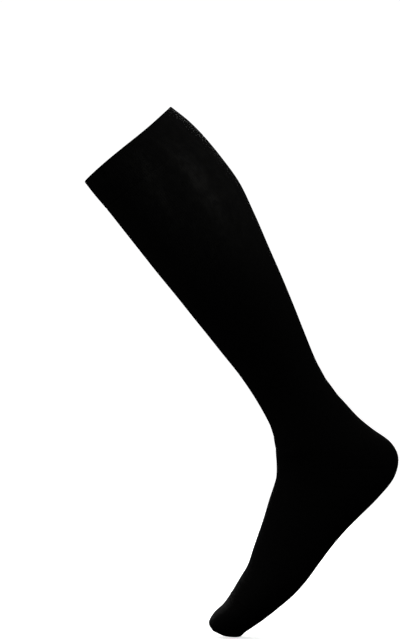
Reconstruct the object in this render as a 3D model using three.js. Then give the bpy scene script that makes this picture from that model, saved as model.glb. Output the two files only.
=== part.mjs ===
// A knee-high graduated compression stocking in black jersey, as it stands filled out in wear.
// It is one knitted tube: a turned welt, the leg, a knitted-in heel pocket, the instep, the foot and a
// closed toe. The knee is bent and the heel lifted, so the leg leans and the toe points down and forward.
// Millimetres, +Z up, toe towards -X, left and right along Y. The origin is the middle of the top opening.
import * as THREE from "three";

// Cloth thickness of each zone. The welt is the cloth turned in on itself, and the heel and toe are plush.
const LEG_CLOTH = 1.2;
const WELT_CLOTH = 2.4;
const PLUSH_CLOTH = 1.7;

// Neighbouring zones end this far apart where one course of knitting passes into the next.
const SEAM_GAP = 0.3;

// How finely the surface is cut: columns round the tube, and the usual height of a row.
const COLUMNS_ROUND = 36;
const ROW_HEIGHT = 12;
const FOLD_STEPS = 4;

// Sections from the welt to the toe, each across the stocking from its front edge to its back edge.
// frontX, frontZ, backX and backZ are the two edges seen from the side. width is the size from left to
// right, and widest is where it lies, as a share of the way back. frontPower and backPower set how square
// each half is: 2 is an ellipse, more is fuller. inward moves a section towards the big toe's side.
const COLUMN_NAMES = [
  "frontX", "frontZ", "backX", "backZ", "width", "widest", "frontPower", "backPower", "inward",
];
const SECTION_ROWS = {
  rim: [-41.1, -35.5, 41.1, 35.5, 100, 0.55, 1.95, 2.1, 0],
  weltMiddle: [-31.2, -48.3, 57.6, 22.5, 104, 0.55, 1.95, 2.1, 0],
  weltEnd: [-20.2, -61.4, 72.2, 7.8, 107, 0.56, 1.9, 2.1, 0],
  calfRise: [-6.6, -78.5, 88.6, -11.7, 108.5, 0.57, 1.9, 2.1, 0],
  calfFull: [9.8, -99.3, 105.8, -35.8, 108, 0.57, 1.9, 2.1, 0],
  calfFall: [27.9, -122.1, 119.4, -63.9, 104, 0.57, 1.9, 2.1, 0],
  calfEnd: [47.9, -146.8, 132.5, -94.0, 96.5, 0.56, 1.9, 2.05, 0],
  shinUpper: [67.6, -171.5, 145.7, -123.7, 87.5, 0.55, 1.9, 2.0, 0],
  shinMiddle: [87.6, -196.2, 158.0, -153.2, 78.5, 0.53, 1.95, 1.95, 0],
  shinLower: [105.2, -218.1, 168.3, -179.6, 69.5, 0.51, 2.0, 1.9, 0],
  ankleUpper: [119.0, -238.1, 177.6, -202.3, 63, 0.48, 2.05, 1.9, 0],
  ankle: [128.4, -254.1, 186.5, -219.2, 60.5, 0.46, 2.1, 1.9, 0],
  ankleLower: [135.5, -268.4, 197.0, -234.4, 61.5, 0.43, 2.15, 1.85, 0],
  heelStart: [138.6, -279.7, 207.8, -246.8, 64, 0.41, 2.2, 1.85, 0],
  heelRise: [140.3, -289.1, 219.4, -259.3, 66.5, 0.39, 2.2, 1.85, 0],
  heelUpper: [140.9, -296.6, 232.4, -270.1, 68, 0.38, 2.2, 1.9, 0],
  heelCrest: [141.3, -300.7, 250.0, -283.2, 68, 0.39, 2.2, 1.95, 0],
  heelBack: [141.5, -304.6, 257.1, -297.6, 67.5, 0.4, 2.2, 2.0, 0],
  heelUnder: [141.6, -310.4, 253.0, -316.5, 66.5, 0.43, 2.2, 2.15, 0],
  heelPad: [140.9, -317.4, 238.2, -335.2, 66.5, 0.47, 2.15, 2.3, 0],
  heelFront: [138.3, -326.0, 221.3, -352.3, 68, 0.52, 2.1, 2.4, 0],
  archRear: [134.5, -337.4, 206.1, -367.9, 71, 0.56, 2.05, 2.5, 0.5],
  arch: [130.2, -351.6, 192.8, -383.5, 75, 0.58, 2.0, 2.5, 1],
  archFront: [124.8, -367.8, 180.8, -399.4, 79.5, 0.6, 2.0, 2.5, 1.5],
  ballRear: [119.3, -383.8, 169.6, -414.6, 84.5, 0.6, 2.0, 2.5, 2],
  ball: [114.2, -399.1, 157.4, -427.9, 89, 0.6, 2.0, 2.5, 3],
  toeRoot: [106.4, -412.4, 143.8, -439.7, 91, 0.58, 2.1, 2.4, 4],
  toeMiddle: [98.0, -426.5, 130.1, -450.8, 89, 0.56, 2.2, 2.4, 5.5],
  toeFull: [90.9, -436.7, 117.0, -460.1, 83.5, 0.54, 2.2, 2.3, 7],
  toePad: [86.6, -440.7, 111.5, -463.9, 77.8, 0.53, 2.2, 2.25, 7.7],
  toeTaper: [82.3, -444.7, 106.6, -468.2, 70, 0.52, 2.15, 2.2, 8.5],
  toeRound: [77.2, -453.2, 94.3, -468.2, 49, 0.5, 2.1, 2.1, 9.5],
  toeEnd: [77.7, -458.2, 87.6, -465.9, 26, 0.5, 2.0, 2.0, 10],
  tip: [80.9, -462.8, 80.9, -462.8, 0, 0.5, 2.0, 2.0, 10],
};

// The rows as objects with named columns, each with its own distance down the stocking.
const sections = Object.entries(SECTION_ROWS).map(([name, values]) => ({
  name,
  ...Object.fromEntries(COLUMN_NAMES.map((column, i) => [column, values[i]])),
}));
sections.forEach((section, i) => {
  section.along = i === 0 ? 0 : sections[i - 1].along + meanStep(sections[i - 1], section);
});
const along = Object.fromEntries(sections.map((section) => [section.name, section.along]));

// How far one section lies past another, as the mean of the steps at its front, its back and its sides.
function meanStep(from, to) {
  const front = Math.hypot(to.frontX - from.frontX, to.frontZ - from.frontZ);
  const back = Math.hypot(to.backX - from.backX, to.backZ - from.backZ);
  const side = Math.hypot((front + back) / 2, (to.width - from.width) / 2);
  return (front + back + 2 * side) / 4;
}

// One column's value at a distance down the stocking, on a smooth curve through the sections.
function columnAt(column, distance) {
  const last = sections.length - 1;
  let i = 0;
  while (i < last - 1 && sections[i + 1].along <= distance) i += 1;
  const slope = (k) => {
    const before = sections[Math.max(k - 1, 0)];
    const after = sections[Math.min(k + 1, last)];
    return (after[column] - before[column]) / (after.along - before.along);
  };
  const from = sections[i];
  const to = sections[i + 1];
  const span = to.along - from.along;
  const t = (distance - from.along) / span;
  return (
    from[column] * (2 * t ** 3 - 3 * t ** 2 + 1) +
    to[column] * (3 * t ** 2 - 2 * t ** 3) +
    slope(i) * span * (t ** 3 - 2 * t ** 2 + t) +
    slope(i + 1) * span * (t ** 3 - t ** 2)
  );
}

const signedPower = (value, power) => Math.sign(value) * Math.abs(value) ** power;

// The rim dips a little behind each side and rises to a soft point at the back.
const RIM_DIP = 1.8;
const RIM_DIP_AT = 105;
const RIM_DIP_SPAN = 38;
const RIM_POINT = 0.8;
const RIM_POINT_SPAN = 18;

// How far a place in the welt is pulled down the stocking, most at the rim and nothing where the welt ends.
function rimPull(distance, angle) {
  const turn = THREE.MathUtils.radToDeg(Math.acos(THREE.MathUtils.clamp(Math.cos(angle), -1, 1)));
  const bell = (centre, span) => Math.exp(-(((turn - centre) / span) ** 2));
  const atRim = RIM_DIP * bell(RIM_DIP_AT, RIM_DIP_SPAN) - RIM_POINT * bell(180, RIM_POINT_SPAN);
  return atRim * Math.max(0, 1 - distance / along.weltEnd);
}

// A point on the outside. The angle is 0 at the front edge, a quarter turn at +Y and a half turn at the back.
function outside(distance, angle) {
  const pulled = distance + rimPull(distance, angle);
  const at = (column) => columnAt(column, pulled);
  const front = new THREE.Vector3(at("frontX"), 0, at("frontZ"));
  const back = new THREE.Vector3(at("backX"), 0, at("backZ"));
  const power = 2 / (Math.cos(angle) > 0 ? at("frontPower") : at("backPower"));
  const widest = at("widest");
  const reach = Math.cos(angle) > 0 ? widest : 1 - widest;
  const share = widest - reach * signedPower(Math.cos(angle), power);
  const sideways = (at("width") / 2) * signedPower(Math.sin(angle), power);
  return front.lerp(back, share).add(new THREE.Vector3(0, at("inward") + sideways, 0));
}

// The outside's unit directions at a point: down the stocking, round it, and out of the cloth.
function directions(distance, angle) {
  const STEP_DOWN = 0.2;
  const STEP_ROUND = 0.02;
  const middle = THREE.MathUtils.clamp(distance, STEP_DOWN, along.tip - 4 * STEP_DOWN);
  const down = outside(middle + STEP_DOWN, angle).sub(outside(middle - STEP_DOWN, angle)).normalize();
  const round = outside(middle, angle + STEP_ROUND).sub(outside(middle, angle - STEP_ROUND)).normalize();
  const out = new THREE.Vector3().crossVectors(round, down).normalize();
  return { down, round, out };
}

// The toe closes on one point, where every column meets and the cloth faces straight on.
function tipPoints(cloth) {
  const point = outside(along.tip, 0);
  const centre = outside(along.toeTaper, 0).lerp(outside(along.toeTaper, Math.PI), 0.5);
  const ahead = point.clone().sub(centre).setY(0).normalize();
  return { outer: point, inner: point.clone().addScaledVector(ahead, -cloth) };
}

// The wall of one column, as a closed loop of points: down the outside and back up the inside.
function columnLoop(angle, distances, cloth, ends, sideShift) {
  const outer = [];
  const inner = [];
  distances.forEach((distance, i) => {
    if (distance === along.tip) {
      const tip = tipPoints(cloth);
      outer.push(tip.outer);
      inner.push(tip.inner);
      return;
    }
    const { down, round, out } = directions(distance, angle);
    const point = outside(distance, angle).addScaledVector(round, sideShift);
    if (i === 0 && ends.start === "seam") point.addScaledVector(down, SEAM_GAP / 2);
    if (i === distances.length - 1 && ends.stop === "seam") point.addScaledVector(down, -SEAM_GAP / 2);
    outer.push(point);
    inner.push(point.clone().addScaledVector(out, -cloth));
  });
  const loop = [...outer, ...inner.reverse()];
  if (ends.start === "fold") loop.push(...foldPoints(angle, distances[0], cloth));
  return loop;
}

// The round edge where the welt turns over, from the inside up and over to the outside.
function foldPoints(angle, distance, cloth) {
  const { down, out } = directions(distance, angle);
  const middle = outside(distance, angle).addScaledVector(out, -cloth / 2);
  return Array.from({ length: FOLD_STEPS - 1 }, (_, i) => {
    const turn = (Math.PI * (i + 1)) / FOLD_STEPS;
    return middle
      .clone()
      .addScaledVector(out, (-cloth / 2) * Math.cos(turn))
      .addScaledVector(down, (-cloth / 2) * Math.sin(turn));
  });
}

// Even rows from one distance to another.
function rowsBetween(from, to, height) {
  const count = Math.max(2, Math.round((to - from) / height));
  return Array.from({ length: count + 1 }, (_, i) => (i === count ? to : from + ((to - from) * i) / count));
}

// One zone of the stocking as a closed wall. columns is the first and last column, or null all round.
function zone(name, { from, to, cloth, columns = null, start = "seam", stop = "seam", height = ROW_HEIGHT }) {
  const first = start === "fold" ? from + cloth / 2 : from;
  const distances = rowsBetween(first, to, height);
  const [low, high] = columns ?? [0, COLUMNS_ROUND];
  const loops = [];
  for (let column = low; column <= high - (columns ? 0 : 1); column += 1) {
    const angle = (2 * Math.PI * column) / COLUMNS_ROUND;
    const sideShift = columns && column === low ? SEAM_GAP / 2 : columns && column === high ? -SEAM_GAP / 2 : 0;
    loops.push(columnLoop(angle, distances, cloth, { start, stop }, sideShift));
  }
  const mesh = new THREE.Mesh(
    wallGeometry(loops, columns === null),
    new THREE.MeshStandardMaterial({ color: 0x0b0b0a, roughness: 0.95, metalness: 0 }),
  );
  mesh.name = name;
  return mesh;
}

// A closed surface through the loops. Without a join all round, the first and last loop are filled in.
function wallGeometry(loops, joined) {
  const corners = [];
  const triangle = (a, b, c) => {
    if (a.distanceTo(b) > 1e-3 && b.distanceTo(c) > 1e-3 && c.distanceTo(a) > 1e-3) corners.push(a, b, c);
  };
  const size = loops[0].length;
  const strips = joined ? loops.length : loops.length - 1;
  for (let j = 0; j < strips; j += 1) {
    const here = loops[j];
    const next = loops[(j + 1) % loops.length];
    for (let k = 0; k < size; k += 1) {
      const l = (k + 1) % size;
      triangle(here[k], next[l], here[l]);
      triangle(here[k], next[k], next[l]);
    }
  }
  if (!joined) {
    fillLoop(loops[0], triangle, true);
    fillLoop(loops[loops.length - 1], triangle, false);
  }
  return new THREE.BufferGeometry().setFromPoints(corners);
}

// Fills a loop with a strip between its outside and its inside.
function fillLoop(loop, triangle, first) {
  const last = loop.length - 1;
  for (let i = 0; i < loop.length / 2 - 1; i += 1) {
    const [a, b, c, d] = [loop[i], loop[i + 1], loop[last - i - 1], loop[last - i]];
    if (first) {
      triangle(a, b, c);
      triangle(a, c, d);
    } else {
      triangle(a, c, b);
      triangle(a, d, c);
    }
  }
}

const QUARTER = COLUMNS_ROUND / 4;
const HEEL_ROW_HEIGHT = 6;
const TOE_ROW_HEIGHT = 5;

const stocking = new THREE.Group();
stocking.add(
  zone("top_band", { from: 0, to: along.weltEnd, cloth: WELT_CLOTH, start: "fold" }),
  zone("calf", { from: along.weltEnd, to: along.shinUpper, cloth: LEG_CLOTH }),
  zone("ankle", { from: along.shinUpper, to: along.heelRise, cloth: LEG_CLOTH }),
  zone("instep", {
    from: along.heelRise,
    to: along.archRear,
    cloth: LEG_CLOTH,
    columns: [-QUARTER, QUARTER],
    height: HEEL_ROW_HEIGHT,
  }),
  zone("heel_pocket", {
    from: along.heelRise,
    to: along.archRear,
    cloth: PLUSH_CLOTH,
    columns: [QUARTER, 3 * QUARTER],
    height: HEEL_ROW_HEIGHT,
  }),
  zone("foot", { from: along.archRear, to: along.toeMiddle, cloth: LEG_CLOTH }),
  zone("toe_pocket", {
    from: along.toeMiddle,
    to: along.tip,
    cloth: PLUSH_CLOTH,
    stop: "closed",
    height: TOE_ROW_HEIGHT,
  }),
);

export default stocking;
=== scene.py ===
"""A black knee-high compression stocking, filled out as in wear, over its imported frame.

The stocking is one knitted tube, so every piece is cut from one smooth surface: sections placed down the
leg and foot, joined by a smooth curve. A point on it has a distance down the stocking and an angle round
it. Lengths are in millimetres up to the meshes, which are in metres. +Z is up, the toe points to -X, and
the origin is the middle of the top opening.
"""

import math

import bpy
import numpy as np
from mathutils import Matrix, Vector


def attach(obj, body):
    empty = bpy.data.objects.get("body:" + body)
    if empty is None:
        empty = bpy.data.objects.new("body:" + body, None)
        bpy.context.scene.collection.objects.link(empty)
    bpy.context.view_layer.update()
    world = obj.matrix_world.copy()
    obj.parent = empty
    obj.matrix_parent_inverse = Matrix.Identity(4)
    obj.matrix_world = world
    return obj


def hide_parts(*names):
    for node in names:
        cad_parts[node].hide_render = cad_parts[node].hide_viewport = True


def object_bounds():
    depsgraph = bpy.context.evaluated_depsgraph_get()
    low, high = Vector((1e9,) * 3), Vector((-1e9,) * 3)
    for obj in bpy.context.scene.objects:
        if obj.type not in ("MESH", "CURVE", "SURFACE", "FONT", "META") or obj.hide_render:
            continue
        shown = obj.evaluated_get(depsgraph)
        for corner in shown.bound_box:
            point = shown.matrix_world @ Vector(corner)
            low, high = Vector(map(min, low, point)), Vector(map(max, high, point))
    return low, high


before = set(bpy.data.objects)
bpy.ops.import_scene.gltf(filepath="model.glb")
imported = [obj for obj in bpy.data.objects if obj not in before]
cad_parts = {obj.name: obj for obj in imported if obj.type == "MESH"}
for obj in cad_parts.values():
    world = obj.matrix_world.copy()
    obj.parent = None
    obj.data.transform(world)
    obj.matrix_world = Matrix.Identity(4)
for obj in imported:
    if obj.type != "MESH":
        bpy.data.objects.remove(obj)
cad_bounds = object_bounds()

MM = 0.001

# Cloth thickness of each zone, as in the solids.
LEG_CLOTH = 1.2
WELT_CLOTH = 2.4
PLUSH_CLOTH = 1.7

# The knitting: wales run down the stocking and courses go round it.
WALES = 168
WALES_PER_QUARTER = WALES // 4
COLUMNS_PER_WALE = 4
COLUMNS_PER_QUARTER = WALES_PER_QUARTER * COLUMNS_PER_WALE
COLUMNS = 4 * COLUMNS_PER_QUARTER
COURSE = 1.3
RIB_SHARE = 0.085

# Sections from the welt to the toe: front and back edge seen from the side, width from left to right, how
# far back the widest place is, how square the front and back halves are, and the shift to the big toe's side.
SECTION_COLUMNS = (
    "front_x", "front_z", "back_x", "back_z", "width", "widest", "front_power", "back_power", "inward",
)
SECTION_ROWS = {
    "rim": (-41.1, -35.5, 41.1, 35.5, 100, 0.55, 1.95, 2.1, 0),
    "welt_middle": (-31.2, -48.3, 57.6, 22.5, 104, 0.55, 1.95, 2.1, 0),
    "welt_end": (-20.2, -61.4, 72.2, 7.8, 107, 0.56, 1.9, 2.1, 0),
    "calf_rise": (-6.6, -78.5, 88.6, -11.7, 108.5, 0.57, 1.9, 2.1, 0),
    "calf_full": (9.8, -99.3, 105.8, -35.8, 108, 0.57, 1.9, 2.1, 0),
    "calf_fall": (27.9, -122.1, 119.4, -63.9, 104, 0.57, 1.9, 2.1, 0),
    "calf_end": (47.9, -146.8, 132.5, -94.0, 96.5, 0.56, 1.9, 2.05, 0),
    "shin_upper": (67.6, -171.5, 145.7, -123.7, 87.5, 0.55, 1.9, 2.0, 0),
    "shin_middle": (87.6, -196.2, 158.0, -153.2, 78.5, 0.53, 1.95, 1.95, 0),
    "shin_lower": (105.2, -218.1, 168.3, -179.6, 69.5, 0.51, 2.0, 1.9, 0),
    "ankle_upper": (119.0, -238.1, 177.6, -202.3, 63, 0.48, 2.05, 1.9, 0),
    "ankle": (128.4, -254.1, 186.5, -219.2, 60.5, 0.46, 2.1, 1.9, 0),
    "ankle_lower": (135.5, -268.4, 197.0, -234.4, 61.5, 0.43, 2.15, 1.85, 0),
    "heel_start": (138.6, -279.7, 207.8, -246.8, 64, 0.41, 2.2, 1.85, 0),
    "heel_rise": (140.3, -289.1, 219.4, -259.3, 66.5, 0.39, 2.2, 1.85, 0),
    "heel_upper": (140.9, -296.6, 232.4, -270.1, 68, 0.38, 2.2, 1.9, 0),
    "heel_crest": (141.3, -300.7, 250.0, -283.2, 68, 0.39, 2.2, 1.95, 0),
    "heel_back": (141.5, -304.6, 257.1, -297.6, 67.5, 0.4, 2.2, 2.0, 0),
    "heel_under": (141.6, -310.4, 253.0, -316.5, 66.5, 0.43, 2.2, 2.15, 0),
    "heel_pad": (140.9, -317.4, 238.2, -335.2, 66.5, 0.47, 2.15, 2.3, 0),
    "heel_front": (138.3, -326.0, 221.3, -352.3, 68, 0.52, 2.1, 2.4, 0),
    "arch_rear": (134.5, -337.4, 206.1, -367.9, 71, 0.56, 2.05, 2.5, 0.5),
    "arch": (130.2, -351.6, 192.8, -383.5, 75, 0.58, 2.0, 2.5, 1),
    "arch_front": (124.8, -367.8, 180.8, -399.4, 79.5, 0.6, 2.0, 2.5, 1.5),
    "ball_rear": (119.3, -383.8, 169.6, -414.6, 84.5, 0.6, 2.0, 2.5, 2),
    "ball": (114.2, -399.1, 157.4, -427.9, 89, 0.6, 2.0, 2.5, 3),
    "toe_root": (106.4, -412.4, 143.8, -439.7, 91, 0.58, 2.1, 2.4, 4),
    "toe_middle": (98.0, -426.5, 130.1, -450.8, 89, 0.56, 2.2, 2.4, 5.5),
    "toe_full": (90.9, -436.7, 117.0, -460.1, 83.5, 0.54, 2.2, 2.3, 7),
    "toe_pad": (86.6, -440.7, 111.5, -463.9, 77.8, 0.53, 2.2, 2.25, 7.7),
    "toe_taper": (82.3, -444.7, 106.6, -468.2, 70, 0.52, 2.15, 2.2, 8.5),
    "toe_round": (77.2, -453.2, 94.3, -468.2, 49, 0.5, 2.1, 2.1, 9.5),
    "toe_end": (77.7, -458.2, 87.6, -465.9, 26, 0.5, 2.0, 2.0, 10),
    "tip": (80.9, -462.8, 80.9, -462.8, 0, 0.5, 2.0, 2.0, 10),
}


# The surface

def section_distances(table):
    """How far down the stocking each section lies: the mean of the steps at its front, back and sides."""
    front = np.hypot(np.diff(table[:, 0]), np.diff(table[:, 1]))
    back = np.hypot(np.diff(table[:, 2]), np.diff(table[:, 3]))
    side = np.hypot((front + back) / 2, np.diff(table[:, 4]) / 2)
    return np.concatenate([[0], np.cumsum((front + back + 2 * side) / 4)])


SECTIONS = np.array(list(SECTION_ROWS.values()), float)
SECTION_ALONG = section_distances(SECTIONS)
ALONG = dict(zip(SECTION_ROWS, SECTION_ALONG))


def section_slopes():
    """The slope of each column of the table at each section, for a smooth curve through them."""
    last = len(SECTIONS) - 1
    before = np.maximum(np.arange(last + 1) - 1, 0)
    after = np.minimum(np.arange(last + 1) + 1, last)
    return (SECTIONS[after] - SECTIONS[before]) / (SECTION_ALONG[after] - SECTION_ALONG[before])[:, None]


SECTION_SLOPES = section_slopes()


def section_at(distance):
    """The section's nine values at each distance, as a dictionary of arrays."""
    i = np.clip(np.searchsorted(SECTION_ALONG, distance, side="right") - 1, 0, len(SECTIONS) - 2)
    span = (SECTION_ALONG[i + 1] - SECTION_ALONG[i])[..., None]
    t = (np.asarray(distance, float) - SECTION_ALONG[i])[..., None] / span
    values = (
        SECTIONS[i] * (2 * t**3 - 3 * t**2 + 1)
        + SECTIONS[i + 1] * (3 * t**2 - 2 * t**3)
        + SECTION_SLOPES[i] * span * (t**3 - 2 * t**2 + t)
        + SECTION_SLOPES[i + 1] * span * (t**3 - t**2)
    )
    return {name: values[..., k] for k, name in enumerate(SECTION_COLUMNS)}


def bell(offset, width):
    return np.exp(-((offset / width) ** 2))


def signed_power(value, power):
    return np.sign(value) * np.abs(value) ** power


# The rim dips a little behind each side and rises to a soft point at the back. Places are in degrees.
RIM_DIP = 1.8
RIM_DIP_AT = 105
RIM_DIP_SPAN = 38
RIM_POINT = 0.8
RIM_POINT_SPAN = 18


def rim_pull(distance, angle):
    """How far a place in the welt is pulled down, most at the rim and nothing where the welt ends."""
    turn = np.degrees(np.arccos(np.clip(np.cos(angle), -1, 1)))
    dip = RIM_DIP * bell(turn - RIM_DIP_AT, RIM_DIP_SPAN)
    point = RIM_POINT * bell(turn - 180, RIM_POINT_SPAN)
    return (dip - point) * np.maximum(0, 1 - np.asarray(distance) / ALONG["welt_end"])


def outside(distance, angle):
    """Points on the outside. The angle is 0 at the front edge, a quarter turn at +Y, a half at the back."""
    at = section_at(distance + rim_pull(distance, angle))
    cos, sin = np.cos(angle), np.sin(angle)
    power = 2 / np.where(cos > 0, at["front_power"], at["back_power"])
    reach = np.where(cos > 0, at["widest"], 1 - at["widest"])
    share = at["widest"] - reach * signed_power(cos, power)
    x = at["front_x"] + share * (at["back_x"] - at["front_x"])
    y = at["inward"] + at["width"] / 2 * signed_power(sin, power)
    z = at["front_z"] + share * (at["back_z"] - at["front_z"])
    return np.stack([x, y, z], axis=-1)


def unit(vectors):
    return vectors / np.maximum(np.linalg.norm(vectors, axis=-1, keepdims=True), 1e-12)


def directions(distance, angle):
    """The outside's unit directions: down the stocking, and out of the cloth."""
    step_down, step_round = 0.2, 0.02
    middle = np.clip(distance, step_down, ALONG["tip"] - 4 * step_down)
    down = unit(outside(middle + step_down, angle) - outside(middle - step_down, angle))
    along_course = unit(outside(middle, angle + step_round) - outside(middle, angle - step_round))
    return down, unit(np.cross(along_course, down))


def course_angles(distance):
    """The angle of each column of one course, spaced evenly round its front and round its back."""
    samples = 160
    quarters = []
    for start in (0, math.pi / 2):
        angle = np.linspace(start, start + math.pi / 2, samples)
        steps = np.linalg.norm(np.diff(outside(np.full(samples, distance), angle), axis=0), axis=1)
        run = np.concatenate([[0], np.cumsum(steps)])
        even = np.linspace(0, run[-1], COLUMNS_PER_QUARTER + 1)
        quarters.append(np.interp(even, run, angle))
    half = np.concatenate([quarters[0][:-1], quarters[1]])
    return np.concatenate([half[:-1], 2 * math.pi - half[::-1]])


def girth(points):
    """The length round each course of a grid of points."""
    return np.linalg.norm(np.diff(points, axis=1), axis=2).sum(axis=1)


# What the cloth does on that surface, as heights in millimetres

def smooth_step(value, low, high):
    t = np.clip((value - low) / (high - low), 0, 1)
    return t * t * (3 - 2 * t)


def turn_from(angle, centre_degrees):
    """The signed turn in radians from a place round the stocking, the shorter way."""
    return (angle - np.radians(centre_degrees) + math.pi) % (2 * math.pi) - math.pi


# Soft creases where the cloth gathers at the bend of the ankle. Each lies at a distance past a section.
# centre and span are degrees round the stocking, and slant is how far one end drops. A crease fades out
# towards its ends over this share of its span.
CREASE_COLUMNS = ("section", "past", "centre", "span", "width", "depth", "slant")
CREASE_FADE = 0.75
CREASES = (
    ("heel_start", -3.0, 8, 46, 3.2, 0.42, 2.0),
    ("heel_rise", 1.0, -14, 38, 2.6, 0.34, -1.5),
    ("ankle_lower", 1.0, 24, 30, 3.6, 0.28, 3.0),
    ("heel_back", -2.0, -30, 26, 2.4, 0.26, -1.0),
    ("ankle", 4.0, 176, 44, 4.0, 0.4, -2.5),
    ("ankle_lower", 5.0, 188, 34, 3.4, 0.3, 3.0),
    ("ankle_upper", 5.0, 168, 28, 4.4, 0.24, 2.0),
)


def creases(distance, angle):
    height = np.zeros(np.broadcast(distance, angle).shape)
    for values in CREASES:
        crease = dict(zip(CREASE_COLUMNS, values))
        turn = turn_from(angle, crease["centre"]) / math.radians(crease["span"])
        line = ALONG[crease["section"]] + crease["past"] + crease["slant"] * turn
        height -= crease["depth"] * bell(distance - line, crease["width"]) * bell(turn, CREASE_FADE)
    return height


# The slight unevenness of knitting on a limb: long waves and shorter ones, each with its height and the
# two lengths that it repeats over.
SLOW_HEIGHT, SLOW_LENGTHS = 0.16, (31, 57)
QUICK_HEIGHT, QUICK_LENGTHS = 0.07, (13, 23)


def ease(distance, angle):
    """The unevenness, in waves that run round and down the stocking."""
    first, second = SLOW_LENGTHS
    slow = np.sin(distance / first + 2 * np.cos(angle)) * np.cos(3 * angle + distance / second)
    first, second = QUICK_LENGTHS
    quick = np.sin(distance / first + 3 * angle) * np.cos(2 * angle - distance / second)
    return SLOW_HEIGHT * slow + QUICK_HEIGHT * quick


WELT_LINE = ALONG["welt_end"]
TOE_LINE = ALONG["toe_middle"]
GORE_LINE = (ALONG["heel_back"] + ALONG["heel_under"]) / 2

# The welt's groove and the ridge above it: depth or height, and width. The ridge lies this far above.
WELT_GROOVE = (0.22, 0.8)
WELT_RIDGE = (0.1, 1.1)
WELT_RIDGE_ABOVE = 2.2

# The toe seam's ridge and the grooves beside it, and the turns in degrees over which it dies away.
SEAM_RIDGE = (0.4, 0.8)
SEAM_GROOVES = (0.15, 0.8)
SEAM_GROOVES_AWAY = 1.9
SEAM_ENDS = (72, 90)

# The toe's gore lines: depth, half width in radians, and how far past the seam they start to fade and end.
TOE_GORE_DEPTH = 0.36
TOE_GORE_WIDTH = 0.04
TOE_GORE_FADES = 8
TOE_GORE_ENDS = 26

# The heel's gore lines: depth and width, the turns in degrees from the back over which they begin and end,
# and how much they narrow towards the back, where the sections fan out.
HEEL_GORE = (0.4, 0.9)
HEEL_GORE_BEGINS = (24, 56)
HEEL_GORE_ENDS = (60, 94)
HEEL_GORE_NARROWS = 1.2


def welt_groove(distance):
    """The line of transferred loops where the welt ends: a shallow groove under a low ridge."""
    depth, width = WELT_GROOVE
    height, ridge_width = WELT_RIDGE
    groove = depth * bell(distance - WELT_LINE, width)
    return height * bell(distance - WELT_LINE + WELT_RIDGE_ABOVE, ridge_width) - groove


def toe_seam(distance, angle):
    """The linking seam: a low ridge across the top of the toes, from side to side."""
    across = 1 - smooth_step(np.abs(turn_from(angle, 0)), *np.radians(SEAM_ENDS))
    away = distance - TOE_LINE
    height, width = SEAM_RIDGE
    depth, groove_width = SEAM_GROOVES
    grooves = depth * bell(np.abs(away) - SEAM_GROOVES_AWAY, groove_width)
    return across * (height * bell(away, width) - grooves)


def toe_gore(distance, angle):
    """The short line on each side of the toe where the narrowed courses meet the widened ones."""
    side = np.abs(np.abs(turn_from(angle, 0)) - math.pi / 2)
    begins = smooth_step(distance, TOE_LINE, TOE_LINE + TOE_GORE_FADES)
    ends = smooth_step(distance, TOE_LINE + TOE_GORE_FADES, TOE_LINE + TOE_GORE_ENDS)
    return -TOE_GORE_DEPTH * begins * (1 - ends) * bell(side, TOE_GORE_WIDTH)


def heel_gore(distance, angle):
    """The line on each side of the heel where the pocket's narrowed courses meet its widened ones."""
    turn = np.abs(turn_from(angle, 180))
    begins = smooth_step(turn, *np.radians(HEEL_GORE_BEGINS))
    ends = smooth_step(turn, *np.radians(HEEL_GORE_ENDS))
    narrower = 1.0 + HEEL_GORE_NARROWS * np.cos(np.clip(turn, 0, math.pi / 2))
    depth, width = HEEL_GORE
    return -depth * begins * (1 - ends) * bell((distance - GORE_LINE) * narrower, width)


def wale_ribs(points, columns, fade):
    """The wales as fine ribs, one wave to each wale, as deep as the knitting is wide there."""
    pitch = (girth(points) / WALES)[:, None]
    wave = 0.5 - 0.5 * np.cos(2 * math.pi * columns / COLUMNS_PER_WALE)
    return -RIB_SHARE * pitch * wave * fade


# Where the colour is lighter: where the stocking is stretched, partly the real greying of stretched knit and
# partly painted sheen. The stocking is stretched most where it is this far round, in millimetres.
STRETCHED_GIRTHS = (270, 345)
STRETCHED_LIGHT_AND_SHEEN = 0.34

# Long soft painted highlight streaks down the calf, lighter colour in place of reflected light, which run
# between two sections. The angles are where each starts and stops round the stocking, and span is its half
# width, all in degrees. Each fades towards both ends over this share of its length.
STREAK_FADE = 0.38
STREAK_COLUMNS = ("from_row", "to_row", "from_angle", "to_angle", "span", "light")
HIGHLIGHT_STREAKS = (
    ("welt_middle", "calf_fall", 246, 254, 9, 1.2),
    ("rim", "calf_full", 276, 293, 9, 0.85),
    ("welt_end", "calf_fall", 110, 104, 10, 1.1),
    ("rim", "calf_full", 84, 70, 9, 0.8),
    ("welt_middle", "calf_full", 176, 183, 12, 0.6),
)


def streaks(distance, angle):
    """How much lighter the painted highlight streaks make each point."""
    light = np.zeros(np.broadcast(distance, angle).shape)
    for values in HIGHLIGHT_STREAKS:
        streak = dict(zip(STREAK_COLUMNS, values))
        start, stop = ALONG[streak["from_row"]], ALONG[streak["to_row"]]
        share = (distance - start) / (stop - start)
        centre = streak["from_angle"] + share * (streak["to_angle"] - streak["from_angle"])
        beside = bell(turn_from(angle, centre), math.radians(streak["span"]))
        light += streak["light"] * beside * bell(share - 0.5, STREAK_FADE)
    return light


# The grid: rows round the stocking, and one column for each quarter of a wale

# The usual height of a row in each stretch, and the least distance between two rows.
ROW_HEIGHTS = {"welt": 4.0, "leg": 5.6, "bend": 3.2, "heel": 2.6, "foot": 4.6, "toe": 2.4}
CLOSEST_ROWS = 0.15


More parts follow.
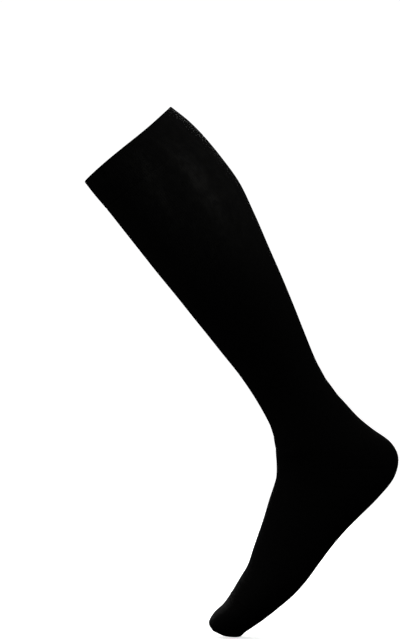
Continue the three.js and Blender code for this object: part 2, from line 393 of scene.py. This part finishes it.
def even_rows(start, stop, height, fine_at=(), fine=(0.4, 0.8, 1.3, 2.0, 3.0)):
    """Distances from start to stop about height apart, closer together at the ends and at given lines."""
    count = max(2, round((stop - start) / height))
    rows = set(np.round(np.linspace(start, stop, count + 1), 4))
    for line in (start, stop, *fine_at):
        near = {round(line + side * step, 4) for step in (0, *fine) for side in (-1, 1)}
        reach = max(fine) if line in fine_at else min(fine)
        near = {row for row in near if start <= row <= stop and abs(row - line) <= reach + 1e-6}
        rows = {row for row in rows if abs(row - line) > reach + 0.4 * height or row in (start, stop)}
        rows |= near
    rows |= {round(start, 4), round(stop, 4)}
    ordered = sorted(rows)
    kept = [ordered[0]]
    for row in ordered[1:]:
        if row - kept[-1] > CLOSEST_ROWS:
            kept.append(row)
    kept[-1] = ordered[-1]
    return np.array(kept)


class Grid:
    """The outside and the inside of one stretch of the stocking, with the knitting's own coordinates."""

    def __init__(self, rows, cloth, rib_fade=None):
        self.rows = rows
        self.cloth = cloth
        self.angles = np.array([course_angles(row) for row in rows])
        self.distance = np.repeat(rows[:, None], COLUMNS + 1, axis=1)
        plain = outside(self.distance, self.angles)
        _, self.out = directions(self.distance, self.angles)
        fade = np.ones_like(self.distance) if rib_fade is None else rib_fade(self.distance)
        columns = np.arange(COLUMNS + 1)[None, :]
        shape = (
            creases(self.distance, self.angles)
            + ease(self.distance, self.angles)
            + welt_groove(self.distance)
            + toe_seam(self.distance, self.angles)
            + toe_gore(self.distance, self.angles)
            + heel_gore(self.distance, self.angles)
        )
        self.base = plain + self.out * shape[..., None]
        self.outer = self.base + self.out * wale_ribs(plain, columns, fade)[..., None]
        self.inner = self.base - self.out * cloth
        self.wale = np.repeat(columns / COLUMNS_PER_WALE, len(rows), axis=0).astype(float)
        self.course = self.distance / COURSE
        self.course_after = self.course
        self.split_row = len(rows)
        # The lighter tone of stretched cloth, partly real greying and partly painted sheen, and the painted
        # highlight streaks.
        stretched = smooth_step(girth(plain), *STRETCHED_GIRTHS) * (rows < ALONG["ankle"])
        self.light = STRETCHED_LIGHT_AND_SHEEN * stretched[:, None] + streaks(self.distance, self.angles)

    def column_run(self):
        """How far along its own column each point lies from the first row."""
        steps = np.linalg.norm(np.diff(self.base, axis=0), axis=2)
        return np.concatenate([np.zeros((1, COLUMNS + 1)), np.cumsum(steps, axis=0)])


def close_faces(faces):
    """Drops a face's repeated corners, and a face with fewer than three left. Keeps which corners stayed."""
    kept = []
    for face in faces:
        corners = [i for i in range(len(face)) if face[i] != face[i - 1]]
        kept.append(corners if len(corners) > 2 else [])
    return kept


# Faces that meet at more than this angle are shaded with an edge between them.
SHARP_DEGREES = 50


def knit_mesh(name, grid, mask, fold=None, pole=False):
    """One closed piece of cloth from the part of a grid where mask is true, with the knitting as its UV map.

    fold gives extra points from the outside over the rim to the inside. With pole the last row is one point.
    """
    rows, columns = mask.shape
    count = (rows + 1) * COLUMNS
    ids_outer = np.arange(count).reshape(rows + 1, COLUMNS)
    if pole:
        ids_outer[-1, :] = ids_outer[-1, 0]
    ids_inner = ids_outer + count
    points = [grid.outer[:, :-1].reshape(-1, 3), grid.inner[:, :-1].reshape(-1, 3)]
    light = [grid.light[:, :-1].ravel()] * 2
    row, column = np.nonzero(mask)
    after = (column + 1) % COLUMNS
    faces, corner_uv, inside = [], [], []

    def uv_of(r, c):
        course = np.where(row < grid.split_row, grid.course[r, c], grid.course_after[r, c])
        return np.stack([grid.wale[r, c], course], axis=-1)

    def add(quads, uvs, is_inside):
        faces.append(quads)
        corner_uv.append(uvs)
        inside.append(np.full(len(quads), is_inside))

    corners = [(row, column), (row, column + 1), (row + 1, column + 1), (row + 1, column)]
    wrapped = [(row, column), (row, after), (row + 1, after), (row + 1, column)]
    uvs = np.stack([uv_of(r, c) for r, c in corners], axis=1)
    add(np.stack([ids_outer[r, c] for r, c in wrapped], axis=1), uvs, False)
    add(np.stack([ids_inner[r, c] for r, c in wrapped[::-1]], axis=1), uvs[:, ::-1], True)

    def edge(open_side, first, second):
        """Closes the cloth's edge on one side of the faces, between two of their corners."""
        if not open_side.any():
            return
        quads = np.stack(
            [
                ids_outer[wrapped[first]][open_side],
                ids_outer[wrapped[second]][open_side],
                ids_inner[wrapped[second]][open_side],
                ids_inner[wrapped[first]][open_side],
            ],
            axis=1,
        )
        add(quads, uvs[open_side][:, [first, second, second, first]], False)

    padded = np.zeros((rows + 2, columns), bool)
    padded[1:-1] = mask
    if fold is None:
        edge(~padded[row, column], 1, 0)
    if not pole:
        edge(~padded[row + 2, column], 3, 2)
    edge(~mask[row, (column - 1) % columns], 0, 3)
    edge(~mask[row, (column + 1) % columns], 2, 1)

    if fold is not None:
        fold_ids = [ids_outer[0]]
        for ring in fold:
            start = sum(len(p) for p in points)
            points.append(ring[:-1])
            light.append(grid.light[0, :-1])
            fold_ids.append(np.arange(start, start + COLUMNS))
        fold_ids.append(ids_inner[0])
        c = np.arange(COLUMNS)
        step = math.pi * grid.cloth / 2 / COURSE / (len(fold_ids) - 1)
        for k in range(len(fold_ids) - 1):
            here, there = fold_ids[k], fold_ids[k + 1]
            quads = np.stack([here[c], there[c], there[(c + 1) % COLUMNS], here[(c + 1) % COLUMNS]], axis=1)
            wale = np.stack([c, c, c + 1, c + 1], axis=1) / COLUMNS_PER_WALE
            course = np.tile([-k * step, -(k + 1) * step, -(k + 1) * step, -k * step], (COLUMNS, 1))
            add(quads, np.stack([wale, course], axis=-1), False)

    faces = np.concatenate(faces)
    corner_uv = np.concatenate(corner_uv)
    inside = np.concatenate(inside)
    points = np.concatenate(points) * MM
    light = np.concatenate(light)
    used, faces = np.unique(faces, return_inverse=True)
    faces = faces.reshape(-1, 4)
    kept = close_faces(faces.tolist())
    face_list = [[faces[i][k] for k in corners] for i, corners in enumerate(kept) if corners]
    uv_list = [corner_uv[i][k] for i, corners in enumerate(kept) for k in corners]
    side_list = [inside[i] for i, corners in enumerate(kept) if corners]

    mesh = bpy.data.meshes.new(name)
    mesh.from_pydata(points[used].tolist(), [], face_list)
    mesh.uv_layers.new(name="knit").data.foreach_set("uv", np.array(uv_list).ravel())
    mesh.polygons.foreach_set("material_index", np.array(side_list, int))
    # The lighter tone of stretched cloth, partly painted sheen, and the painted highlight streaks, which the
    # material reads.
    mesh.attributes.new("light", "FLOAT", "POINT").data.foreach_set("value", light[used])
    mesh.shade_smooth()
    mesh.set_sharp_from_angle(angle=math.radians(SHARP_DEGREES))
    mesh.validate()
    return mesh


# Materials

def node(tree, kind, **settings):
    made = tree.nodes.new(kind)
    for key, value in settings.items():
        setattr(made, key, value)
    return made


def math_node(tree, operation, first, second=None):
    """A Math node with numbers or sockets as its inputs, and its result."""
    made = node(tree, "ShaderNodeMath", operation=operation)
    for socket, value in zip(made.inputs, (first, second)):
        if value is None:
            continue
        if isinstance(value, (int, float)):
            socket.default_value = value
        else:
            tree.links.new(value, socket)
    return made.outputs[0]


def linear(tree, value, slope, start):
    """The value times slope, plus start."""
    return math_node(tree, "ADD", math_node(tree, "MULTIPLY", value, slope), start)


def hump(tree, value):
    """A rounded hump: 0 where value is 0 or 1, and 1 where it is a half."""
    centred = math_node(tree, "SUBTRACT", math_node(tree, "MULTIPLY", value, 2.0), 1.0)
    return math_node(tree, "SUBTRACT", 1.0, math_node(tree, "MULTIPLY", centred, centred))


def knit_coordinates(tree):
    """The knitting's own coordinates at each point, and the wale and the course on their own."""
    uv = node(tree, "ShaderNodeUVMap", uv_map="knit")
    split = node(tree, "ShaderNodeSeparateXYZ")
    tree.links.new(uv.outputs["UV"], split.inputs[0])
    return uv.outputs["UV"], split.outputs["X"], split.outputs["Y"]


# The shapes of a stitch: how far its legs slant in courses, the share of the wale that they fill and where
# they start in it, how square they are, how far a loop on the wrong side sways, and how full the plush is.
STITCH_SLANT = -0.8
STITCH_FILL, STITCH_START = 0.86, 0.07
STITCH_POWER = 0.6
LOOP_SWAY = 0.22
PLUSH_RELIEF, PLUSH_FULL = 0.7, 0.15


def face_stitches(tree, wale, course):
    """Height of the right side of jersey: in each wale a column of stitches like the letter V."""
    in_wale = math_node(tree, "FRACT", math_node(tree, "ADD", wale, 0.5))
    from_centre = math_node(tree, "SUBTRACT", in_wale, 0.5)
    across = math_node(tree, "MULTIPLY", math_node(tree, "ABSOLUTE", from_centre), 2.0)
    slanted = math_node(tree, "ADD", course, math_node(tree, "MULTIPLY", across, STITCH_SLANT))
    along = hump(tree, math_node(tree, "FRACT", slanted))
    leg = hump(tree, linear(tree, across, STITCH_FILL, STITCH_START))
    return math_node(tree, "MULTIPLY", math_node(tree, "POWER", along, STITCH_POWER), leg)


def back_stitches(tree, wale, course):
    """Height of the wrong side of jersey: rows of small arcs that lock into each other."""
    sway = math_node(tree, "SINE", math_node(tree, "MULTIPLY", wale, 2 * math.pi))
    shifted = math_node(tree, "ADD", course, math_node(tree, "MULTIPLY", sway, LOOP_SWAY))
    return hump(tree, math_node(tree, "FRACT", shifted))


def plush_stitches(tree, wale, course):
    """Height of the plush: the same stitches, fuller, with the looser loops blurring them."""
    return linear(tree, face_stitches(tree, wale, course), PLUSH_RELIEF, PLUSH_FULL)


# The yarn where it lies densest, and the lightest colour, where it is stretched most and where sheen and
# highlight are painted.
YARN_COLOUR = (0.0022, 0.0022, 0.0022)
STRETCHED_AND_HIGHLIGHT_COLOUR = (0.0090, 0.0090, 0.0084)

# Mottle in the lightening of the stretched cloth and its painted sheen and highlight, and streaks in the
# yarn, as scales across and along the knitting.
MOTTLE_SCALE = (0.3, 0.12)
MOTTLE_RANGE = (0.3, 0.75)
MOTTLE_SHARE, MOTTLE_BASE = 0.75, 0.35
YARN_STREAKS = (1.0, 0.25)
YARN_SHARE = 0.3

# How light the tone is in all, and how much of it is lost between the stitches as painted shade in the gaps.
TONE_SHARE = 0.8
STITCH_TONE, GAP_SHADE = 0.75, 0.5

# Roughness, which falls where the cloth is stretched, and the small gloss and sheen of matt yarn.
ROUGHNESS, ROUGHNESS_FALL = 0.74, -0.28
YARN_SPECULAR = 0.005
YARN_SHEEN = 0.005
YARN_SHEEN_ROUGHNESS = 0.45
YARN_SHEEN_TINT = (0.9, 0.9, 0.88)

# How close together the fine hairs on the yarn lie.
HAIR_SCALE = 2600.0


def stretched_noise(tree, coordinates, scale, detail):
    """Noise in the knitting's own coordinates, which runs lengthwise where the scales differ."""
    mapping = node(tree, "ShaderNodeMapping")
    mapping.inputs["Scale"].default_value = (*scale, 1.0)
    tree.links.new(coordinates, mapping.inputs["Vector"])
    noise = node(tree, "ShaderNodeTexNoise")
    noise.inputs["Scale"].default_value = 1.0
    noise.inputs["Detail"].default_value = detail
    tree.links.new(mapping.outputs[0], noise.inputs["Vector"])
    return noise.outputs["Fac"]


def contrast(tree, value, low, high):
    """Spreads the values between low and high over 0 to 1, smoothly."""
    spread = node(tree, "ShaderNodeMapRange", interpolation_type="SMOOTHSTEP")
    spread.inputs["From Min"].default_value = low
    spread.inputs["From Max"].default_value = high
    tree.links.new(value, spread.inputs["Value"])
    return spread.outputs["Result"]


def knit_material(name, stitches, depth, fuzz):
    """Matt black knitting, a little lighter and smoother in soft patches where it is stretched most, partly
    real greying and partly painted sheen, with painted highlight streaks down the calf.

    stitches makes the relief of the stitches, depth is its height, and fuzz is the share of fine hair.
    """
    material = bpy.data.materials.new(name)
    material.use_nodes = True
    tree = material.node_tree
    shader = tree.nodes["Principled BSDF"]
    coordinates, wale, course = knit_coordinates(tree)
    height = stitches(tree, wale, course)

    mottle = contrast(tree, stretched_noise(tree, coordinates, MOTTLE_SCALE, 3.0), *MOTTLE_RANGE)
    yarns = stretched_noise(tree, coordinates, YARN_STREAKS, 2.0)
    # Painted sheen and highlight: the light attribute, mottled, lightens the colour and lowers the roughness.
    light = node(tree, "ShaderNodeAttribute", attribute_name="light").outputs["Fac"]
    stretch_and_highlight = math_node(tree, "MULTIPLY", light, linear(tree, mottle, MOTTLE_SHARE, MOTTLE_BASE))
    with_yarns = math_node(tree, "ADD", stretch_and_highlight, math_node(tree, "MULTIPLY", yarns, YARN_SHARE))
    tone = math_node(tree, "MULTIPLY", with_yarns, TONE_SHARE)
    # Painted shade: the colour is darker in the gaps between the stitches than on their tops.
    tone = math_node(tree, "MULTIPLY", tone, linear(tree, height, STITCH_TONE, GAP_SHADE))
    colour = node(tree, "ShaderNodeMix", data_type="RGBA")
    colour.inputs["A"].default_value = (*YARN_COLOUR, 1.0)
    colour.inputs["B"].default_value = (*STRETCHED_AND_HIGHLIGHT_COLOUR, 1.0)
    tree.links.new(tone, colour.inputs["Factor"])
    tree.links.new(colour.outputs["Result"], shader.inputs["Base Color"])

    tree.links.new(linear(tree, stretch_and_highlight, ROUGHNESS_FALL, ROUGHNESS), shader.inputs["Roughness"])

    hair = node(tree, "ShaderNodeTexNoise")
    hair.inputs["Scale"].default_value = HAIR_SCALE
    hair.inputs["Detail"].default_value = 2.0
    surface = node(tree, "ShaderNodeTexCoord")
    tree.links.new(surface.outputs["Object"], hair.inputs["Vector"])
    relief = math_node(tree, "ADD", height, math_node(tree, "MULTIPLY", hair.outputs["Fac"], fuzz))
    bump = node(tree, "ShaderNodeBump")
    bump.inputs["Strength"].default_value = 1.0
    bump.inputs["Distance"].default_value = depth * MM
    tree.links.new(relief, bump.inputs["Height"])
    tree.links.new(bump.outputs[0], shader.inputs["Normal"])

    shader.inputs["Specular IOR Level"].default_value = YARN_SPECULAR
    shader.inputs["Sheen Weight"].default_value = YARN_SHEEN
    shader.inputs["Sheen Roughness"].default_value = YARN_SHEEN_ROUGHNESS
    shader.inputs["Sheen Tint"].default_value = (*YARN_SHEEN_TINT, 1.0)
    return material


# The floor's own light, its two tones and how fine its mottle is.
FLOOR_GLOW = 0.75
FLOOR_TONES = (0.955, 0.965)
FLOOR_MOTTLE = 3.0


def floor_material():
    """A plain pale studio floor, matt and lit from below as a light table is, with the faintest mottle."""
    material = bpy.data.materials.new("pale_floor")
    material.use_nodes = True
    tree = material.node_tree
    shader = tree.nodes["Principled BSDF"]
    noise = node(tree, "ShaderNodeTexNoise")
    noise.inputs["Scale"].default_value = FLOOR_MOTTLE
    surface = node(tree, "ShaderNodeTexCoord")
    tree.links.new(surface.outputs["Object"], noise.inputs["Vector"])
    colour = node(tree, "ShaderNodeMix", data_type="RGBA")
    for name, tone in zip("AB", FLOOR_TONES):
        colour.inputs[name].default_value = (tone, tone, tone, 1.0)
    tree.links.new(noise.outputs["Fac"], colour.inputs["Factor"])
    tree.links.new(colour.outputs["Result"], shader.inputs["Base Color"])
    shader.inputs["Roughness"].default_value = 0.9
    shader.inputs["Specular IOR Level"].default_value = 0.1
    shader.inputs["Emission Color"].default_value = (1.0, 1.0, 1.0, 1.0)
    shader.inputs["Emission Strength"].default_value = FLOOR_GLOW
    return material


FACE_KNIT = knit_material("jersey_face", face_stitches, depth=0.16, fuzz=0.25)
BACK_KNIT = knit_material("jersey_back", back_stitches, depth=0.14, fuzz=0.35)
WELT_KNIT = knit_material("welt_face", face_stitches, depth=0.2, fuzz=0.25)
PLUSH_KNIT = knit_material("plush_face", plush_stitches, depth=0.2, fuzz=0.55)


# Pieces

# The rows that the heel and the instep share, closer together at the gore.
HEEL_ROWS = even_rows(
    ALONG["heel_rise"], ALONG["arch_rear"], ROW_HEIGHTS["heel"], fine_at=(GORE_LINE,), fine=(0.4, 0.8, 1.2)
)


def whole(rows):
    """A mask for a grid that goes all the way round."""
    return np.ones((len(rows) - 1, COLUMNS), bool)


def heel_columns():
    """Which columns lie in the back half, between the two sides."""
    column = np.arange(COLUMNS)
    return (column >= COLUMNS_PER_QUARTER) & (column < 3 * COLUMNS_PER_QUARTER)


def add_piece(mesh, face, nodes):
    """Puts a piece in the scene with its finish, and hides the parts that it replaces."""
    piece = bpy.data.objects.new(mesh.name, mesh)
    bpy.context.scene.collection.objects.link(piece)
    for material in (face, BACK_KNIT):
        mesh.materials.append(material)
    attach(piece, "root")
    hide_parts(*nodes)


# Steps round the fold at the rim.
FOLD_STEPS = 8


def make_welt():
    """The turned welt: the cloth goes up the outside, over the rim and back down the inside."""
    start = WELT_CLOTH / 2
    rows = even_rows(start, WELT_LINE, ROW_HEIGHTS["welt"], fine_at=(WELT_LINE,))
    grid = Grid(rows, WELT_CLOTH)
    down, out = directions(grid.distance[:1], grid.angles[:1])
    radius = WELT_CLOTH / 2
    middle = grid.base[:1] - out * radius
    turns = np.linspace(0, math.pi, FOLD_STEPS + 1)[1:-1]
    fold = [(middle + out * radius * math.cos(turn) - down * radius * math.sin(turn))[0] for turn in turns]
    mesh = knit_mesh("welt_cloth", grid, whole(rows), fold=fold)
    add_piece(mesh, WELT_KNIT, ["top_band"])


def make_leg():
    """The leg, from under the welt to the heel."""
    leg_rows = even_rows(WELT_LINE, ALONG["ankle"], ROW_HEIGHTS["leg"], fine_at=(WELT_LINE,))
    bend_rows = even_rows(ALONG["ankle"], ALONG["heel_rise"], ROW_HEIGHTS["bend"])
    rows = np.concatenate([leg_rows, bend_rows[1:]])
    grid = Grid(rows, LEG_CLOTH)
    mesh = knit_mesh("leg_cloth", grid, whole(rows))
    add_piece(mesh, FACE_KNIT, ["calf", "ankle"])


def make_foot():
    """The instep across the front of the ankle, and the tube of the foot up to the toe seam."""
    foot_rows = even_rows(ALONG["arch_rear"], TOE_LINE, ROW_HEIGHTS["foot"], fine_at=(TOE_LINE,))
    rows = np.concatenate([HEEL_ROWS, foot_rows[1:]])
    grid = Grid(rows, LEG_CLOTH)
    mask = whole(rows)
    mask[: len(HEEL_ROWS) - 1, heel_columns()] = False
    mesh = knit_mesh("foot_cloth", grid, mask)
    add_piece(mesh, FACE_KNIT, ["instep", "foot"])


def make_heel():
    """The heel pocket, whose courses run from both ends to the gore lines at its middle."""
    grid = Grid(HEEL_ROWS, PLUSH_CLOTH)
    run = grid.column_run()
    back = 2 * COLUMNS_PER_QUARTER
    grid.course = run / COURSE
    grid.course_after = (run[-1, back] - (run[-1] - run)) / COURSE
    grid.split_row = int(np.argmin(np.abs(HEEL_ROWS - GORE_LINE)))
    mask = whole(HEEL_ROWS) & heel_columns()[None, :]
    mesh = knit_mesh("heel_cloth", grid, mask)
    add_piece(mesh, PLUSH_KNIT, ["heel_pocket"])


# How far past the toe seam the wales can still be seen as ribs.
TOE_RIBS_END = 9


def toe_rib_fade(distance):
    """How deep the wales stay in the toe, where they run together and die away past the seam."""
    return 1 - smooth_step(distance, TOE_LINE, TOE_LINE + TOE_RIBS_END)


def make_toe():
    """The toe pocket, whose wales run straight over the toes and back underneath them."""
    rows = even_rows(TOE_LINE, ALONG["tip"], ROW_HEIGHTS["toe"], fine_at=(TOE_LINE,))
    grid = Grid(rows, PLUSH_CLOTH, rib_fade=toe_rib_fade)
    tip = outside(np.array([ALONG["tip"]]), np.array([0.0]))[0]
    taper = outside(np.array([ALONG["toe_taper"]] * 2), np.array([0.0, math.pi]))
    ahead = unit((tip - taper.mean(axis=0)) * [1, 0, 1])
    grid.outer[-1] = tip
    grid.inner[-1] = tip - ahead * PLUSH_CLOTH
    pitch = girth(grid.base[:1])[0] / WALES
    shift = section_at(grid.distance)["inward"]
    grid.wale = (grid.base[..., 1] - shift) / pitch
    grid.course = (TOE_LINE + grid.column_run()) / COURSE
    mesh = knit_mesh("toe_cloth", grid, whole(rows), pole=True)
    add_piece(mesh, PLUSH_KNIT, ["toe_pocket"])


make_welt()
make_leg()
make_foot()
make_heel()
make_toe()


# The camera, where the photograph was taken from: level, square to the side of the stocking

# The photograph's size and the origin's place in it, in pixels, and what a pixel covers at the stocking.
PHOTO_SIZE = (400, 639)
ORIGIN_PIXEL = (127.25, 143.75)
PIXEL = 0.95 * MM

# The camera's distance and reach in metres, and its sensor's size in millimetres.
CAMERA_AWAY = 4.2
SENSOR = 36.0
FARTHEST = 100.0


def make_camera():
    data = bpy.data.cameras.new("camera")
    data.sensor_width = SENSOR
    data.lens = SENSOR * CAMERA_AWAY / (PHOTO_SIZE[1] * PIXEL)
    data.clip_end = FARTHEST
    camera = bpy.data.objects.new("camera", data)
    centre = [(size - 1) / 2 for size in PHOTO_SIZE]
    across = (centre[0] - ORIGIN_PIXEL[0]) * PIXEL
    up = (ORIGIN_PIXEL[1] - centre[1]) * PIXEL
    camera.location = (across, -CAMERA_AWAY, up)
    camera.rotation_euler = (math.pi / 2, 0, 0)
    bpy.context.scene.collection.objects.link(camera)
    bpy.context.scene.camera = camera


# The studio: a pale floor under the toe, white all round, soft lights from every side and one on the calf

# How far the floor reaches and how far it lies under the toe, in metres.
FLOOR_REACH = 40.0
FLOOR_GAP = 0.0003

BACKDROP_WHITE = 1.05
OVERHEAD_DEGREES = 100
OVERHEAD_STRENGTH = 1.0


def make_floor(height):
    mesh = bpy.data.meshes.new("floor")
    signs = ((-1, -1), (1, -1), (1, 1), (-1, 1))
    corners = [(x * FLOOR_REACH, y * FLOOR_REACH, height) for x, y in signs]
    mesh.from_pydata(corners, [], [(0, 1, 2, 3)])
    mesh.materials.append(floor_material())
    floor = bpy.data.objects.new("floor", mesh)
    bpy.context.scene.collection.objects.link(floor)
    floor.visible_diffuse = False
    floor.visible_glossy = False


def aim_light(data, place, target):
    """Puts a light in the scene at a place, turned towards its target."""
    light = bpy.data.objects.new(data.name, data)
    light.location = place
    light.rotation_euler = (Vector(target) - Vector(place)).to_track_quat("-Z", "Y").to_euler()
    bpy.context.scene.collection.objects.link(light)


def make_softbox(name, place, target, size, power):
    data = bpy.data.lights.new(name, "AREA")
    data.shape = "DISK"
    data.size = size
    data.energy = power
    aim_light(data, place, target)


def make_spot(name, place, target, cone, size, power):
    """A snooted light, brightest at its target. The cone is its full angle in degrees."""
    data = bpy.data.lights.new(name, "SPOT")
    data.spot_size = math.radians(cone)
    data.spot_blend = 1.0
    data.shadow_soft_size = size
    data.energy = power
    aim_light(data, place, target)


def make_world():
    """A white backdrop all round, which the camera sees and which lights nothing."""
    world = bpy.data.worlds.new("studio")
    world.use_nodes = True
    background = world.node_tree.nodes["Background"]
    background.inputs["Color"].default_value = (1.0, 1.0, 1.0, 1.0)
    background.inputs["Strength"].default_value = BACKDROP_WHITE
    world.cycles_visibility.diffuse = False
    world.cycles_visibility.glossy = False
    bpy.context.scene.world = world


# Softboxes round the stocking: azimuth and elevation in degrees, with 0 in front of the photograph's side
# and 90 behind the calf, distance and size in metres, and power in watts. Each is aimed at the middle of
# the leg.
SOFTBOX_COLUMNS = ("name", "azimuth", "elevation", "distance", "size", "power")
SOFTBOXES = (
    ("outer_side", -18, 12, 2.6, 1.6, 5.5),
    ("behind_outer", 52, 30, 2.4, 0.9, 3),
    ("behind", 90, 30, 2.4, 1.2, 8),
    ("behind_inner", 172, 30, 2.4, 0.9, 24),
    ("inner_side", 195, 12, 2.6, 1.4, 24),
    ("ahead", 262, 30, 2.4, 1.2, 11),
    ("ahead_low", 285, -4, 2.4, 0.9, 5),
)
LEG_MIDDLE = (0.10, 0.0, -0.17)

# The snooted light on the upper calf: place and target, its cone in degrees, its size and its power.
CALF_LIGHT = {
    "place": (1.15, -1.25, 0.78),
    "target": (0.070, -0.05, -0.032),
    "cone": 9,
    "size": 0.08,
    "power": 54,
}


def make_overhead():
    """The evenly lit ceiling, as a very wide sun straight above."""
    data = bpy.data.lights.new("overhead", "SUN")
    data.angle = math.radians(OVERHEAD_DEGREES)
    data.energy = OVERHEAD_STRENGTH
    bpy.context.scene.collection.objects.link(bpy.data.objects.new("overhead", data))


def make_softboxes():
    for values in SOFTBOXES:
        box = dict(zip(SOFTBOX_COLUMNS, values))
        azimuth, elevation = math.radians(box["azimuth"]), math.radians(box["elevation"])
        way = (
            math.sin(azimuth) * math.cos(elevation),
            -math.cos(azimuth) * math.cos(elevation),
            math.sin(elevation),
        )
        place = [middle + box["distance"] * step for middle, step in zip(LEG_MIDDLE, way)]
        make_softbox(box["name"], place, LEG_MIDDLE, box["size"], box["power"])


make_camera()
make_floor(cad_bounds[0][2] - FLOOR_GAP)
make_world()
make_overhead()
make_softboxes()
make_spot("calf_light", **CALF_LIGHT)
bpy.context.scene.view_settings.view_transform = "Standard"
